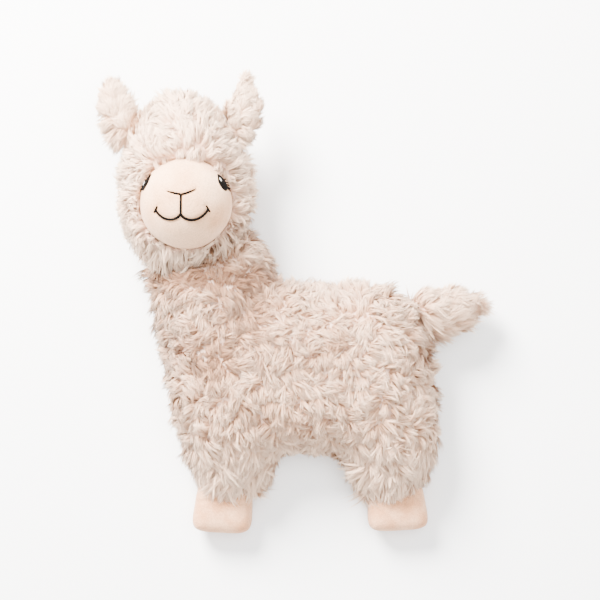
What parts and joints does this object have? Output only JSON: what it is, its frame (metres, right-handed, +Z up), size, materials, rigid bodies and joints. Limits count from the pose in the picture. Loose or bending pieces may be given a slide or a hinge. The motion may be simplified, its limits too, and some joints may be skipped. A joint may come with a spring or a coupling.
{
  "type": "plush llama dog toy",
  "caption": "Stuffed llama dog toy of shaggy plush lying on its back panel, with a smooth embroidered face, leaf ears, a tail and flat padded hooves.",
  "frame": {"origin": "middle of the lying toy's outline, on the floor under it", "axes": "+Y from the soles to the ears, +X from the chest to the tail, +Z up from the back panel to the face"},
  "size_m": [0.3374, 0.3994, 0.1283],
  "materials": {
    "shaggy_plush": "long curly pile, cream with darker roots",
    "short_pile": "smooth short pile, pale peach",
    "dark_thread": "near-black embroidery thread",
    "white_thread": "white embroidery thread"
  },
  "bodies": {
    "root": {"body": "shaggy_plush", "head": "shaggy_plush", "ear_left": "shaggy_plush", "ear_right": "shaggy_plush", "tail": "shaggy_plush", "face": "short_pile", "hoof_front": "short_pile", "hoof_hind": "short_pile", "eye_left": "dark_thread", "eye_right": "dark_thread", "nose_and_mouth": "dark_thread", "glint_left": "white_thread", "glint_right": "white_thread"}
  },
  "joints": []
}
